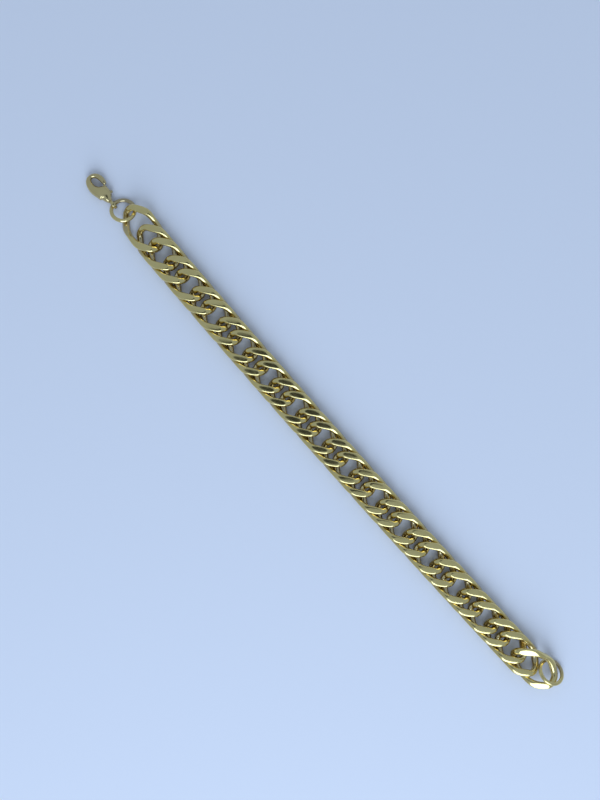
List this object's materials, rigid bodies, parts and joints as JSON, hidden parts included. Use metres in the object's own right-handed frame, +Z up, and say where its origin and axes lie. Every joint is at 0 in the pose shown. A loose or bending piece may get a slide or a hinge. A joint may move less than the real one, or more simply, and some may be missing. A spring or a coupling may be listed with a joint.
{
  "type": "link bracelet",
  "caption": "Chunky gold-tone double curb chain bracelet, open and laid out straight, with jump rings and a sprung lobster clasp.",
  "frame": {"origin": "middle of the laid-out bracelet's box, on the surface that it lies on", "axes": "+X along the chain from the clasp to the end ring, +Y across it, +Z up"},
  "size_m": [0.2058, 0.0132, 0.0064],
  "materials": {
    "link_metal": "polished gold-tone plating with fine rubs and scratches on the ground faces",
    "ring_metal": "polished gold-tone wire",
    "clasp_metal": "tumbled gold-tone casting, softly polished",
    "lever_metal": "stamped gold-tone sheet, softly polished"
  },
  "bodies": {
    "bracelet": {"link_01": "link_metal", "link_02": "link_metal", "link_03": "link_metal", "link_04": "link_metal", "link_05": "link_metal", "link_06": "link_metal", "link_07": "link_metal", "link_08": "link_metal", "link_09": "link_metal", "link_10": "link_metal", "link_11": "link_metal", "link_12": "link_metal", "link_13": "link_metal", "link_14": "link_metal", "link_15": "link_metal", "link_16": "link_metal", "link_17": "link_metal", "link_18": "link_metal", "link_19": "link_metal", "link_20": "link_metal", "link_21": "link_metal", "link_22": "link_metal", "link_23": "link_metal", "link_24": "link_metal", "link_25": "link_metal", "link_26": "link_metal", "link_27": "link_metal", "link_28": "link_metal", "link_29": "link_metal", "link_30": "link_metal", "clasp_ring": "ring_metal", "end_ring": "ring_metal", "clasp_body": "clasp_metal"},
    "lever": {"clasp_lever": "lever_metal"}
  },
  "joints": [
    {"name": "lever_hinge", "type": "hinge", "parent": "bracelet", "child": "lever", "pos_m": [-0.09509, -0.00161, 0.0015], "axis": [0, 0, 1], "range_deg": [0, 40], "stiffness_Nm_per_rad": 0.004}
  ]
}
